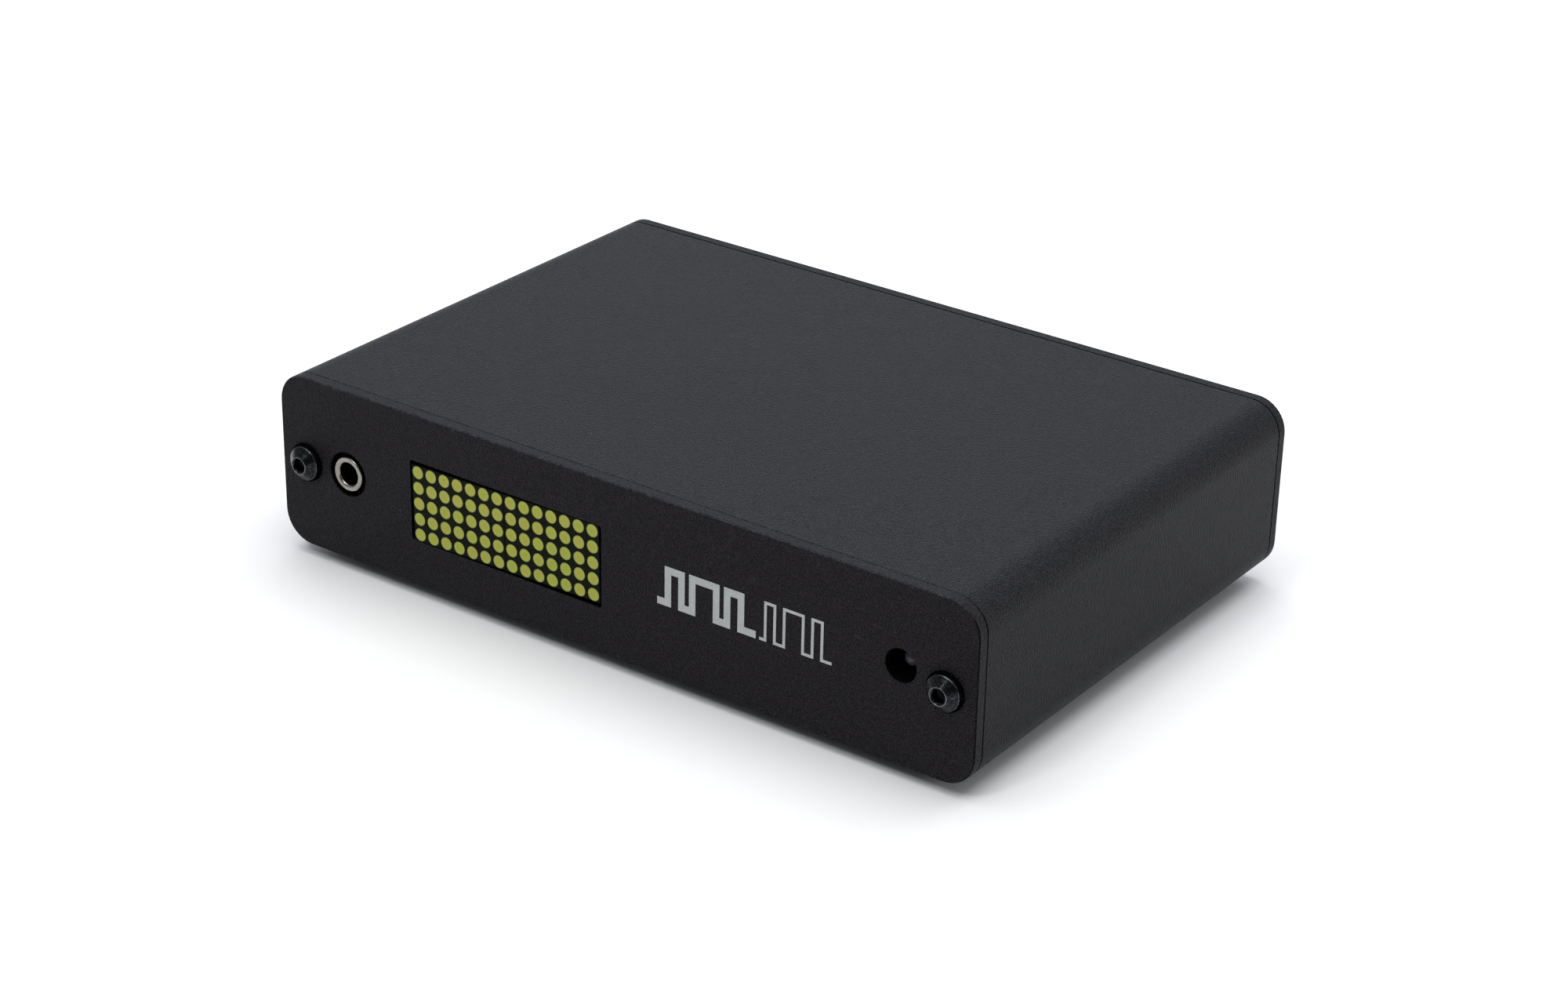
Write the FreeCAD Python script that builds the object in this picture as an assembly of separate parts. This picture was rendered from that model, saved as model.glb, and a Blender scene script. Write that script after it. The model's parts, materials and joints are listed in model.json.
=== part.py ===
"""Compact bench logic analyzer: an extruded aluminium sleeve closed by two screwed panels,
with a slide-in main board, a dot-matrix display board, a 3.5 mm jack and a DC inlet at the
front, and a USB socket and a probe header at the rear.

Millimetres. Built with the front face at y = 0 and the underside of the sleeve at z = 0, then
shifted so that the origin is the centre of the footprint at the bottom of the rubber feet:
+X to the user's right, +Y towards the rear panel, +Z up.
"""
import FreeCAD, Part

import math
import os

V = FreeCAD.Vector

# ---------------------------------------------------------------- driving dimensions
CASE_W = 126.0          # width of the sleeve and panels
CASE_H = 28.0           # height of the sleeve and panels
BODY_L = 80.0           # length of the extruded sleeve
PANEL_T = 2.0           # front and rear panel plate
CORNER_R = 5.0          # outer corner of the section
WALL = 1.8              # sleeve wall
PANEL_EDGE = 0.2        # broken outer edge of a panel
SEAM = 0.1              # chamfer on the sleeve's end edges
SEAM_GAP, SEAM_DEEP = 0.2, 0.8     # shadow gap round the back of each panel
DEPTH = BODY_L + 2 * PANEL_T

BOARD_TOP = 10.6        # top face of the main board
BOARD_T = 1.6
BOARD_HALF_W = 60.8
BOARD_Y0, BOARD_Y1 = 2.3, 81.7

SCREW_X, SCREW_Z = 58.0, 14.0   # panel screws, one each side at mid height
SCREW_R = 1.5           # M3 major radius
SCREW_HOLE_R = 1.7      # clearance hole in a panel
BOSS_R = 2.9            # screw channel along each side wall
HEAD_R, HEAD_TOP_R, HEAD_H, HEAD_RIM = 2.72, 1.4, 1.5, 0.45
HEX_AF, HEX_DEPTH = 2.0, 1.1
WASHER_R, WASHER_T = 3.05, 0.5      # serrated lock washer
WASHER_TEETH, TOOTH_DEEP = 26, 0.16
SCREW_LEN = 8.0

FOOT_R, FOOT_H = 4.0, 2.0
FOOT_X, FOOT_Y = 52.0, 32.0     # feet centres from the middle of the case

DOT_PITCH, DOT_R = 2.54, 1.04   # dot matrix: 5 rows of 7 dots in each module
DOT_DEEP = 1.6
DISP_X, DISP_Z = -19.03, 13.93  # centre of the display and of its window
DISP_TILT = 1.03                # degrees that the display board sits out of level
MOD_W, MOD_H, MOD_D = 17.68, 12.4, 6.3
MOD_GAP = 0.04
MOD_FACE_Y = 0.03
WIN_W, WIN_H, WIN_R = 36.2, 13.1, 0.4
DBOARD_W, DBOARD_H, DBOARD_T = 44.0, 19.0, 1.6
DBOARD_Y = 6.4

JACK_X, JACK_Z = -49.77, 14.25    # 3.5 mm phone jack
JACK_HOLE_R = 3.55
JACK_BORE_R, JACK_RING_R = 1.8, 2.75
JACK_TIP_TURN, JACK_RING_TURN = 9.5, 7.5

DC_X, DC_Z = 50.63, 15.36       # DC inlet: 4 mm barrel over a 2.5 mm pin
DC_HOLE_R, DC_BORE_R, DC_PIN_R = 2.55, 2.2, 1.25
DC_TURN = 5.0

USB_X = -38.0                   # rear socket, type B
USB_W, USB_H, USB_D = 12.0, 10.9, 16.3
USB_OUT = 0.6                   # how far the shell stands out of the rear face
HDR_X, HDR_N = 14.0, 10         # rear probe header, 2 rows of 10 pins
HDR_W, HDR_H, HDR_D = 33.0, 8.8, 9.0

SHIFT = V(0, -DEPTH / 2, FOOT_H)
OUT = "parts"


# ---------------------------------------------------------------- helpers
def bx(x0, x1, y0, y1, z0, z1):
    return Part.makeBox(x1 - x0, y1 - y0, z1 - z0, V(x0, y0, z0))


def cyl_y(x, z, r, y0, y1):
    return Part.makeCylinder(r, y1 - y0, V(x, y0, z), V(0, 1, 0))


def cyl_z(x, y, r, z0, z1):
    return Part.makeCylinder(r, z1 - z0, V(x, y, z0), V(0, 0, 1))


def cone_y(x, z, r0, r1, y0, y1):
    return Part.makeCone(r0, r1, y1 - y0, V(x, y0, z), V(0, 1, 0))


def rrect_y(cx, cz, w, h, r, y0, y1):
    """Rounded rectangle in XZ, pushed along Y."""
    a, b = w / 2, h / 2
    k = r * (1 - math.sqrt(0.5))
    edges = []
    corners = [(a, b, 1, 1), (-a, b, -1, 1), (-a, -b, -1, -1), (a, -b, 1, -1)]
    arcs = []
    for x, z, sx, sz in corners:
        p0 = V(cx + x, y0, cz + z - sz * r)
        p1 = V(cx + x - sx * r, y0, cz + z)
        pm = V(cx + x - sx * k, y0, cz + z - sz * k)
        if sx * sz < 0:
            p0, p1 = p1, p0
        arcs.append((p0, pm, p1))
    for i, (p0, pm, p1) in enumerate(arcs):
        edges.append(Part.Arc(p0, pm, p1).toShape())
        q = arcs[(i + 1) % 4][0]
        edges.append(Part.LineSegment(p1, q).toShape())
    return Part.Face(Part.Wire(edges)).extrude(V(0, y1 - y0, 0))


def prism(points, push):
    """Closed polygon of points, pushed along a vector."""
    return Part.Face(Part.makePolygon(list(points) + [points[0]])).extrude(push)


def ribbon(path, t):
    """Outline of a bent strip of thickness t along a 2D path, with mitred bends."""
    def unit(a, b):
        d = math.hypot(b[0] - a[0], b[1] - a[1])
        return ((b[0] - a[0]) / d, (b[1] - a[1]) / d)

    left, right = [], []
    n = len(path)
    for i, p in enumerate(path):
        dirs = []
        if i > 0:
            dirs.append(unit(path[i - 1], p))
        if i < n - 1:
            dirs.append(unit(p, path[i + 1]))
        nx = sum(-d[1] for d in dirs)
        ny = sum(d[0] for d in dirs)
        m = math.hypot(nx, ny)
        nx, ny = nx / m, ny / m
        cosine = nx * -dirs[0][1] + ny * dirs[0][0]
        s = t / 2 / cosine
        left.append((p[0] + nx * s, p[1] + ny * s))
        right.append((p[0] - nx * s, p[1] - ny * s))
    return left + right[::-1]


def strip_xy(path, t, z0, z1):
    return prism([V(x, y, z0) for x, y in ribbon(path, t)], V(0, 0, z1 - z0))


def strip_yz(path, t, x0, x1):
    return prism([V(x0, y, z) for y, z in ribbon(path, t)], V(x1 - x0, 0, 0))


def strip_xz(path, t, y0, y1):
    return prism([V(x, y0, z) for x, z in ribbon(path, t)], V(0, y1 - y0, 0))


def spin_y(points, x, z):
    """Revolve (r, y) points about the line through (x, z) along Y."""
    return Part.Face(
        Part.makePolygon([V(x + r, y, z) for r, y in points + points[:1]])
    ).revolve(V(x, 0, z), V(0, 1, 0), 360)


def outline_edges(shape, y):
    """The edges of the case's outer outline that lie in the plane at y."""
    found = []
    a, b = CASE_W / 2 - CORNER_R, CASE_H / 2 - CORNER_R
    for e in shape.Edges:
        box = e.BoundBox
        if abs(box.YMin - y) > 1e-4 or abs(box.YMax - y) > 1e-4:
            continue
        m = e.valueAt((e.FirstParameter + e.LastParameter) / 2)
        dx = max(abs(m.x) - a, 0)
        dz = max(abs(m.z - CASE_H / 2) - b, 0)
        if abs(math.hypot(dx, dz) - CORNER_R) < 1e-3:
            found.append(e)
    return found


def ring_edges(shape, x, z, r, y):
    found = []
    for e in shape.Edges:
        if not isinstance(e.Curve, Part.Circle) or abs(e.Curve.Radius - r) > 1e-4:
            continue
        c = e.Curve.Center
        if abs(c.x - x) < 1e-4 and abs(c.z - z) < 1e-4 and abs(c.y - y) < 1e-4:
            found.append(e)
    return found


def join(shapes):
    made = shapes[0]
    if len(shapes) > 1:
        made = made.multiFuse(shapes[1:])
    return made.removeSplitter()


def level(shape):
    """Turns a piece of the display assembly by the angle it sits out of level."""
    made = shape.copy()
    made.rotate(V(DISP_X, 0, DISP_Z), V(0, 1, 0), -DISP_TILT)
    return made


parts = {}


def keep(name, *shapes):
    parts[name] = list(shapes)


# ---------------------------------------------------------------- sleeve
def make_case():
    y0, y1 = PANEL_T, PANEL_T + BODY_L
    outer = rrect_y(0, CASE_H / 2, CASE_W, CASE_H, CORNER_R, y0, y1)
    outer = outer.makeChamfer(SEAM, outline_edges(outer, y0) + outline_edges(outer, y1))
    inner = rrect_y(0, CASE_H / 2, CASE_W - 2 * WALL, CASE_H - 2 * WALL,
                    CORNER_R - WALL, y0 - 1, y1 + 1)
    shell = outer.cut(inner)
    wall_in = CASE_W / 2 - WALL
    adds, cuts = [], []
    slot_lo, slot_hi = BOARD_TOP - BOARD_T - 0.1, BOARD_TOP + 0.15
    for s in (-1, 1):
        for lo, hi in ((slot_lo - 1.1, slot_lo), (slot_hi, slot_hi + 1.1)):
            for a, b in ((lo, hi), (CASE_H - hi, CASE_H - lo)):
                x0, x1 = sorted((s * (wall_in - 2.0), s * (wall_in + 0.4)))
                adds.append(bx(x0, x1, y0, y1, a, b))
        x0, x1 = sorted((s * SCREW_X, s * (wall_in + 0.4)))
        adds.append(bx(x0, x1, y0, y1, SCREW_Z - 1.6, SCREW_Z + 1.6))
        adds.append(cyl_y(s * SCREW_X, SCREW_Z, BOSS_R, y0, y1))
        cuts.append(cyl_y(s * SCREW_X, SCREW_Z, SCREW_R, y0 - 1, y1 + 1))
    made = join([shell] + adds)
    for c in cuts:
        made = made.cut(c)
    return made.removeSplitter()


def blank_panel(y0, front):
    """A plate whose outer side is at y0 when front, and at y0 + PANEL_T otherwise."""
    y1 = y0 + PANEL_T
    a, b = (y0, y1 - SEAM_GAP) if front else (y0 + SEAM_GAP, y1)
    made = rrect_y(0, CASE_H / 2, CASE_W, CASE_H, CORNER_R, a, b)
    made = made.makeChamfer(PANEL_EDGE, outline_edges(made, y0 if front else y1))
    core = rrect_y(0, CASE_H / 2, CASE_W - 2 * SEAM_DEEP, CASE_H - 2 * SEAM_DEEP,
                   CORNER_R - SEAM_DEEP, y0 + 0.5, y1) if front else rrect_y(
        0, CASE_H / 2, CASE_W - 2 * SEAM_DEEP, CASE_H - 2 * SEAM_DEEP, CORNER_R - SEAM_DEEP, y0, y1 - 0.5)
    made = join([made, core])
    for s in (-1, 1):
        made = made.cut(cyl_y(s * SCREW_X, SCREW_Z, SCREW_HOLE_R, y0 - 1, y1 + 1))
    return made


def make_front_panel():
    made = blank_panel(0, True)
    made = made.cut(rrect_y(DISP_X, DISP_Z, WIN_W, WIN_H, WIN_R, -1, PANEL_T + 1))
    made = made.cut(cyl_y(JACK_X, JACK_Z, JACK_HOLE_R, -1, PANEL_T + 1))
    made = made.cut(cyl_y(DC_X, DC_Z, DC_HOLE_R, -1, PANEL_T + 1))
    rims = ring_edges(made, JACK_X, JACK_Z, JACK_HOLE_R, 0)
    rims += ring_edges(made, DC_X, DC_Z, DC_HOLE_R, 0)
    return made.makeChamfer(0.1, rims)


def make_rear_panel():
    y0 = PANEL_T + BODY_L
    made = blank_panel(y0, False)
    usb_z = BOARD_TOP + USB_H / 2
    made = made.cut(rrect_y(USB_X, usb_z, USB_W + 0.5, USB_H + 0.5, 0.5, y0 - 1, y0 + 3))
    hdr_z = BOARD_TOP + HDR_H / 2
    made = made.cut(rrect_y(HDR_X, hdr_z, HDR_W + 0.6, HDR_H + 0.6, 0.5, y0 - 1, y0 + 3))
    return made


# ---------------------------------------------------------------- fasteners and feet
def make_screw(x, y_face, out):
    """Button-head screw. y_face is the panel's outer face and out is -1 at the front, 1 at the rear."""
    y = lambda d: y_face + out * d
    base = WASHER_T
    rim = base + HEAD_RIM
    top = base + HEAD_H
    pts = [(0, y(base)), (HEAD_R - 0.06, y(base)), (HEAD_R, y(base + 0.06)),
           (HEAD_R, y(rim - 0.07)), (HEAD_R - 0.05, y(rim)),
           (HEAD_TOP_R + 0.04, y(top - 0.03)), (HEAD_TOP_R - 0.02, y(top)), (0, y(top))]
    head = spin_y(pts, x, SCREW_Z)
    tip = -SCREW_LEN + base
    r = SCREW_R - 0.01
    shank = spin_y([(0, y(base)), (r, y(base)), (r, y(tip + 0.4)), (r - 0.4, y(tip)), (0, y(tip))],
                   x, SCREW_Z)
    c = HEX_AF / math.sqrt(3)
    hexa = []
    for i in range(6):
        a = math.radians(60 * i + 12)
        hexa.append(V(x + c * math.cos(a), y(top + 0.5), SCREW_Z + c * math.sin(a)))
    socket = prism(hexa, V(0, -out * (HEX_DEPTH + 0.5), 0))
    cs = spin_y([(0, y(top + 0.2)), (c + 0.33, y(top + 0.2)), (c + 0.13, y(top)),
                 (c - 0.1, y(top - 0.23)), (0, y(top - 0.23))], x, SCREW_Z)
    drill = spin_y([(0, y(top - HEX_DEPTH + 0.05)), (HEX_AF / 2, y(top - HEX_DEPTH + 0.05)),
                    (0, y(top - HEX_DEPTH - 0.22))], x, SCREW_Z)
    return join([head, shank]).cut(socket).cut(cs).cut(drill).removeSplitter()


def make_washer(x, y_face, out):
    a, b = sorted((y_face, y_face + out * WASHER_T))
    made = cyl_y(x, SCREW_Z, WASHER_R, a, b)
    made = made.makeChamfer(0.08, ring_edges(made, x, SCREW_Z, WASHER_R, y_face + out * WASHER_T))
    made = made.cut(cyl_y(x, SCREW_Z, SCREW_R + 0.1, a - 1, b + 1))
    notches = []
    r0, r1 = WASHER_R - TOOTH_DEEP, WASHER_R + 0.3
    for i in range(WASHER_TEETH):
        mid = 2 * math.pi * (i + 0.5) / WASHER_TEETH
        near, far = 0.22 / r0, 0.44 / r1
        corner = [(r0, -near / 2), (r1, -far / 2), (r1, far / 2), (r0, near / 2)]
        notches.append(prism([V(x + r * math.cos(mid + t), a - 0.5, SCREW_Z + r * math.sin(mid + t))
                              for r, t in corner], V(0, b - a + 1, 0)))
    return made.cut(Part.makeCompound(notches))


def make_foot(x, y):
    pts = [(0, 0), (FOOT_R, 0), (FOOT_R, -0.35), (FOOT_R - 0.35, -FOOT_H + 0.5),
           (FOOT_R - 0.5, -FOOT_H + 0.2), (FOOT_R - 0.8, -FOOT_H), (0, -FOOT_H)]
    face = Part.Face(Part.makePolygon([V(x + r, y, z) for r, z in pts + pts[:1]]))
    return face.revolve(V(x, y, 0), V(0, 0, 1), 360)


# ---------------------------------------------------------------- display
def module_box(k):
    x0 = DISP_X + (MOD_GAP / 2 if k else -MOD_GAP / 2 - MOD_W)
    return x0, x0 + MOD_W


def dot_places(k):
    for c in range(7):
        for r in range(5):
            yield (DISP_X + (c + 7 * k - 6.5) * DOT_PITCH, DISP_Z + (r - 2) * DOT_PITCH)


def make_module(k):
    x0, x1 = module_box(k)
    y0, y1 = MOD_FACE_Y, MOD_FACE_Y + MOD_D
    body = bx(x0, x1, y0, y1, DISP_Z - MOD_H / 2, DISP_Z + MOD_H / 2)
    rim = [e for e in body.Edges if e.BoundBox.YMax < y0 + 1e-6]
    body = body.makeChamfer(0.08, rim)
    body = body.cut(Part.makeCompound(
        [cyl_y(x, z, DOT_R, y0 - 0.5, y0 + DOT_DEEP) for x, z in dot_places(k)]))
    # shallow relief behind the pin rows, which keeps the module's back off the solder mask
    body = body.cut(bx(x0 + 1.5, x1 - 1.5, y1 - 0.4, y1 + 1, DISP_Z - 2.4, DISP_Z + 2.4))
    return level(body)


def make_dots(k):
    y0 = MOD_FACE_Y + 0.015
    return [level(cyl_y(x, z, DOT_R - 0.01, y0, MOD_FACE_Y + DOT_DEEP - 0.01))
            for x, z in dot_places(k)]


def module_pins():
    for k in (0, 1):
        x0, x1 = module_box(k)
        mid = (x0 + x1) / 2
        for c in range(6):
            for s in (-1, 1):
                yield mid + (c - 2.5) * DOT_PITCH, DISP_Z + s * 3.81


LINK_N = 8
LINK_X = [DISP_X + (i - (LINK_N - 1) / 2) * 2.54 for i in range(LINK_N)]
LINK_Z = BOARD_TOP + 1.25
LINK_Y0, LINK_Y1 = 9.9, 12.4
LINK_PIN_Y = 11.15


def make_display_board():
    board = bx(DISP_X - DBOARD_W / 2, DISP_X + DBOARD_W / 2, DBOARD_Y, DBOARD_Y + DBOARD_T,
               DISP_Z - DBOARD_H / 2, DISP_Z + DBOARD_H / 2)
    board = board.cut(Part.makeCompound(
        [cyl_y(x, z, 0.35, DBOARD_Y - 1, DBOARD_Y + 3) for x, z in module_pins()]))
    board = level(board)
    return board.cut(Part.makeCompound(
        [cyl_y(x, LINK_Z, 0.55, DBOARD_Y - 1, DBOARD_Y + 3) for x in LINK_X]))


def make_display_pins():
    return [level(cyl_y(x, z, 0.25, MOD_FACE_Y + MOD_D + 0.005, DBOARD_Y + DBOARD_T + 1.1))
            for x, z in module_pins()]


# ---------------------------------------------------------------- chips
def gull_lead(x, y, dx, dy, z_board, width=0.24, reach=1.0, z_exit=0.75):
    """One gull-wing lead leaving a package side at (x, y) towards (dx, dy)."""
    path = [(0.0, z_board + z_exit), (reach * 0.3, z_board + z_exit),
            (reach * 0.5, z_board + 0.09), (reach, z_board + 0.09)]
    outline = ribbon(path, 0.14)
    px, py = -dy * width / 2, dx * width / 2
    pts = [V(x + dx * u - px, y + dy * u - py, w) for u, w in outline]
    return prism(pts, V(2 * px, 2 * py, 0))


def chip_body(x, y, w, d, h, z_board, stand=0.12, top_in=0.12):
    """Moulded package with sides that draft in above and below its parting line."""
    z0, z1 = z_board + stand, z_board + stand + h
    zm = (z0 + z1) / 2
    def ring(z, inset):
        a, b = w / 2 - inset, d / 2 - inset
        return Part.makePolygon([V(x - a, y - b, z), V(x + a, y - b, z), V(x + a, y + b, z),
                                 V(x - a, y + b, z), V(x - a, y - b, z)])
    lower = Part.makeLoft([ring(z0, top_in), ring(zm, 0)], True, True)
    upper = Part.makeLoft([ring(zm, 0), ring(z1, top_in)], True, True)
    made = join([lower, upper])
    return made.cut(cyl_z(x - w / 2 + 1.1, y - d / 2 + 1.1, 0.35, z1 - 0.08, z1 + 1))


def two_sides(x, y, w, d, n, pitch, along_x=True, zb=BOARD_TOP, reach=1.0, width=0.24, z_exit=0.75):
    leads = []
    for i in range(n):
        o = (i - (n - 1) / 2) * pitch
        for s in (-1, 1):
            if along_x:
                leads.append(gull_lead(x + o, y + s * (d / 2 + 0.005), 0, s, zb, width, reach, z_exit))
            else:
                leads.append(gull_lead(x + s * (w / 2 + 0.005), y + o, s, 0, zb, width, reach, z_exit))
    return leads


LOGIC = (14.0, 44.0, 10.0, 10.0, 1.4)
MEMORY = (-6.0, 46.0, 5.0, 6.0, 1.6)
USBC = (-38.0, 55.0, 10.2, 5.3, 1.7)
BUFS = [(5.0, 62.0, 6.5, 4.4, 1.0), (23.0, 62.0, 6.5, 4.4, 1.0)]
REG = (36.0, 20.0, 6.5, 3.5, 1.6)


def make_leads():
    leads = []
    x, y, w, d, h = LOGIC
    leads += two_sides(x, y, w, d, 16, 0.5, True) + two_sides(x, y, w, d, 16, 0.5, False)
    x, y, w, d, h = MEMORY
    leads += two_sides(x, y, w, d, 4, 1.27, False, width=0.42)
    x, y, w, d, h = USBC
    leads += two_sides(x, y, w, d, 14, 0.65, True)
    for x, y, w, d, h in BUFS:
        leads += two_sides(x, y, w, d, 10, 0.65, True, z_exit=0.6)
    x, y, w, d, h = REG
    for i in (-1, 0, 1):
        leads.append(gull_lead(x + i * 2.3, y - d / 2 - 0.005, 0, -1, BOARD_TOP, 0.7, 1.4))
    leads.append(gull_lead(x, y + d / 2 + 0.005, 0, 1, BOARD_TOP, 3.0, 1.4))
    return leads


# ---------------------------------------------------------------- 3.5 mm jack
TIP_ROOT = (JACK_X + 2.9, 15.0)
RING_ROOT = (JACK_X - 2.9, 4.75)
JACK_Y0, JACK_Y1 = 2.15, 16.4


def make_jack_bushing():
    r0, r1 = JACK_BORE_R, JACK_RING_R
    y0, y1 = 0.05, 3.55
    f, g = 0.42, 0.2
    k = 1 - math.sqrt(0.5)
    edges = [
        Part.LineSegment(V(r0, y1, 0), V(r0, y0 + f, 0)),
        Part.Arc(V(r0, y0 + f, 0), V(r0 + f * k, y0 + f * k, 0), V(r0 + f, y0, 0)),
        Part.LineSegment(V(r0 + f, y0, 0), V(r1 - g, y0, 0)),
        Part.Arc(V(r1 - g, y0, 0), V(r1 - g * k, y0 + g * k, 0), V(r1, y0 + g, 0)),
        Part.LineSegment(V(r1, y0 + g, 0), V(r1, y1, 0)),
        Part.LineSegment(V(r1, y1, 0), V(r0, y1, 0)),
    ]
    face = Part.Face(Part.Wire([e.toShape() for e in edges]))
    made = face.revolve(V(0, 0, 0), V(0, 1, 0), 360)
    made.translate(V(JACK_X, 0, JACK_Z))
    return made


def make_jack_housing():
    x, z = JACK_X, JACK_Z
    body = bx(x - 4.0, x + 4.0, JACK_Y0, JACK_Y1, BOARD_TOP + 0.02, z + 3.7)
    top = [e for e in body.Edges if e.BoundBox.ZMin > z + 3.6]
    body = body.makeChamfer(0.3, top)
    cuts = [
        cyl_y(x, z, JACK_RING_R + 0.05, JACK_Y0 - 1, 3.6),
        cyl_y(x, z, JACK_BORE_R + 0.35, 3.0, 15.0),
        bx(x + 0.6, x + 4.1, 8.2, 15.05, z - 1.0, z + 1.0),                       # tip spring slot
        bx(x + 2.65, x + 3.15, 15.0, 15.95, BOARD_TOP - 1, z + 1.0),              # tip terminal
        bx(x - 4.1, x - 0.6, 4.7, 10.9, z - 1.0, z + 1.0),                        # ring spring slot
        bx(x - 3.15, x - 2.65, 3.75, 4.75, BOARD_TOP - 1, z + 1.0),               # ring terminal
        bx(x - 0.6, x + 0.6, 3.6, 3.95, BOARD_TOP - 1, z - 1.5),                  # sleeve terminal
    ]
    for c in cuts:
        body = body.cut(c)
    return body.removeSplitter()


def make_tip_spring():
    x, z = JACK_X, JACK_Z
    path = [TIP_ROOT, (x + 2.75, 13.9), (x + 1.28, 11.35), (x + 1.28, 10.75),
            (x + 2.35, 9.4), (x + 2.75, 8.7)]
    return strip_xy(path, 0.25, z - 0.8, z + 0.8)


def make_ring_spring():
    x, z = JACK_X, JACK_Z
    path = [RING_ROOT, (x - 2.75, 5.6), (x - 1.45, 7.9), (x - 1.45, 8.5),
            (x - 2.3, 9.7), (x - 2.6, 10.3)]
    return strip_xy(path, 0.25, z - 0.8, z + 0.8)


def make_jack_terminals():
    x, z = JACK_X, JACK_Z
    lo = BOARD_TOP - BOARD_T - 1.4
    return [
        bx(x + 2.775, x + 3.025, 15.1, 15.9, lo, z + 0.8),
        bx(x - 3.025, x - 2.775, 3.85, 4.65, lo, z + 0.8),
        bx(x - 0.5, x + 0.5, 3.65, 3.9, lo, z - 2.0),
    ]


# ---------------------------------------------------------------- DC inlet
DC_ROOT = (11.6, DC_Z - 3.2)
DC_Y0, DC_Y1 = 2.12, 13.2


def make_dc_housing():
    x, z = DC_X, DC_Z
    body = bx(x - 4.0, x + 4.0, DC_Y0, DC_Y1, BOARD_TOP + 0.02, z + 4.0)
    top = [e for e in body.Edges if e.BoundBox.ZMin > z + 3.9]
    body = body.makeChamfer(0.4, top)
    cuts = [
        cyl_y(x, z, DC_BORE_R, DC_Y0 - 1, 11.2),
        cyl_y(x, z, 0.62, 11.0, DC_Y1 + 1),
        bx(x - 1.25, x + 1.25, 3.6, 12.05, BOARD_TOP + 0.5, z - 1.2),             # spring slot
        bx(x - 1.1, x + 1.1, 11.68, 12.05, BOARD_TOP - 1, BOARD_TOP + 1.0),       # spring terminal
    ]
    for c in cuts:
        body = body.cut(c)
    return body.removeSplitter()


def make_dc_pin():
    x, z = DC_X, DC_Z
    r = DC_PIN_R
    tip = 2.05
    shank = cyl_y(x, z, r, tip + r, 11.19)
    nose = Part.makeSphere(r, V(x, tip + r, z))
    nose = nose.common(bx(x - 2, x + 2, tip - 1, tip + r, z - 2, z + 2))
    tail = cyl_y(x, z, 0.6, 11.1, 13.75)
    return join([shank, nose, tail])


def make_dc_spring():
    x, z = DC_X, DC_Z
    path = [DC_ROOT, (10.6, z - 3.1), (7.0, z - 2.0), (6.3, z - 2.0), (4.9, z - 2.7), (4.3, z - 2.85)]
    return strip_yz(path, 0.28, x - 1.0, x + 1.0)


def make_dc_terminals():
    x, z = DC_X, DC_Z
    lo = BOARD_TOP - BOARD_T - 1.4
    lug = bx(x - 0.9, x + 0.9, 13.25, 13.55, lo, z + 1.3).cut(cyl_y(x, z, 0.61, 13, 14))
    return [bx(x - 1.0, x + 1.0, 11.72, 11.98, lo, z - 2.9), lug]


# ---------------------------------------------------------------- USB socket
USB_Y1 = DEPTH + USB_OUT
USB_Y0 = USB_Y1 - USB_D
USB_Z = BOARD_TOP + USB_H / 2
USB_SHEET = 0.3
USB_ROOT_Y = 75.4
TONGUE_W, TONGUE_H = 5.6, 3.2


def make_usb_shell():
    x, z = USB_X, USB_Z
    z0 = BOARD_TOP + 0.02
    z1 = BOARD_TOP + USB_H
    zc, h = (z0 + z1) / 2, z1 - z0
    outer = rrect_y(x, zc, USB_W, h, 0.6, USB_Y0, USB_Y1)
    inner = rrect_y(x, zc, USB_W - 2 * USB_SHEET, h - 2 * USB_SHEET, 0.3, USB_Y0 + USB_SHEET, USB_Y1 + 1)
    made = outer.cut(inner)
    tabs = [bx(x + s * (USB_W / 2 - 0.15) - 0.15, x + s * (USB_W / 2 - 0.15) + 0.15,
               USB_Y0 + 5.0, USB_Y0 + 7.4, BOARD_TOP - BOARD_T - 1.4, BOARD_TOP + 1.2) for s in (-1, 1)]
    return join([made] + tabs)


def make_usb_insulator():
    x, z = USB_X, USB_Z
    g = USB_SHEET + 0.02
    zc = BOARD_TOP + 0.01 + USB_H / 2
    block = rrect_y(x, zc, USB_W - 2 * g, USB_H - 0.02 - 2 * g, 0.26, USB_Y0 + g, USB_Y1 - 0.35)
    w, h, c = 8.45, 7.78, 1.6
    cav = prism([V(x - w / 2, 75.0, z - h / 2), V(x + w / 2, 75.0, z - h / 2),
                 V(x + w / 2, 75.0, z + h / 2 - c), V(x + w / 2 - c, 75.0, z + h / 2),
                 V(x - w / 2 + c, 75.0, z + h / 2), V(x - w / 2, 75.0, z + h / 2 - c)], V(0, 12, 0))
    made = block.cut(cav)
    tongue = bx(x - TONGUE_W / 2, x + TONGUE_W / 2, 74.0, USB_Y1 - 1.4, z - TONGUE_H / 2, z + TONGUE_H / 2)
    made = join([made, tongue])
    for s in (-1, 1):
        for sx in (-1, 1):
            cx = x + sx * 1.25
            a, b = sorted((z + s * (TONGUE_H / 2 - 0.95), z + s * (TONGUE_H / 2 + 0.2)))
            made = made.cut(bx(cx - 0.6, cx + 0.6, USB_ROOT_Y - 0.05, USB_Y1 - 2.0, a, b))
            c, d = sorted((z + s * (TONGUE_H / 2 - 0.75), z + s * (TONGUE_H / 2 - 0.3)))
            made = made.cut(bx(cx - 0.5, cx + 0.5, USB_Y0 - 1, USB_ROOT_Y, c, d))
    return made.removeSplitter()


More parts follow.
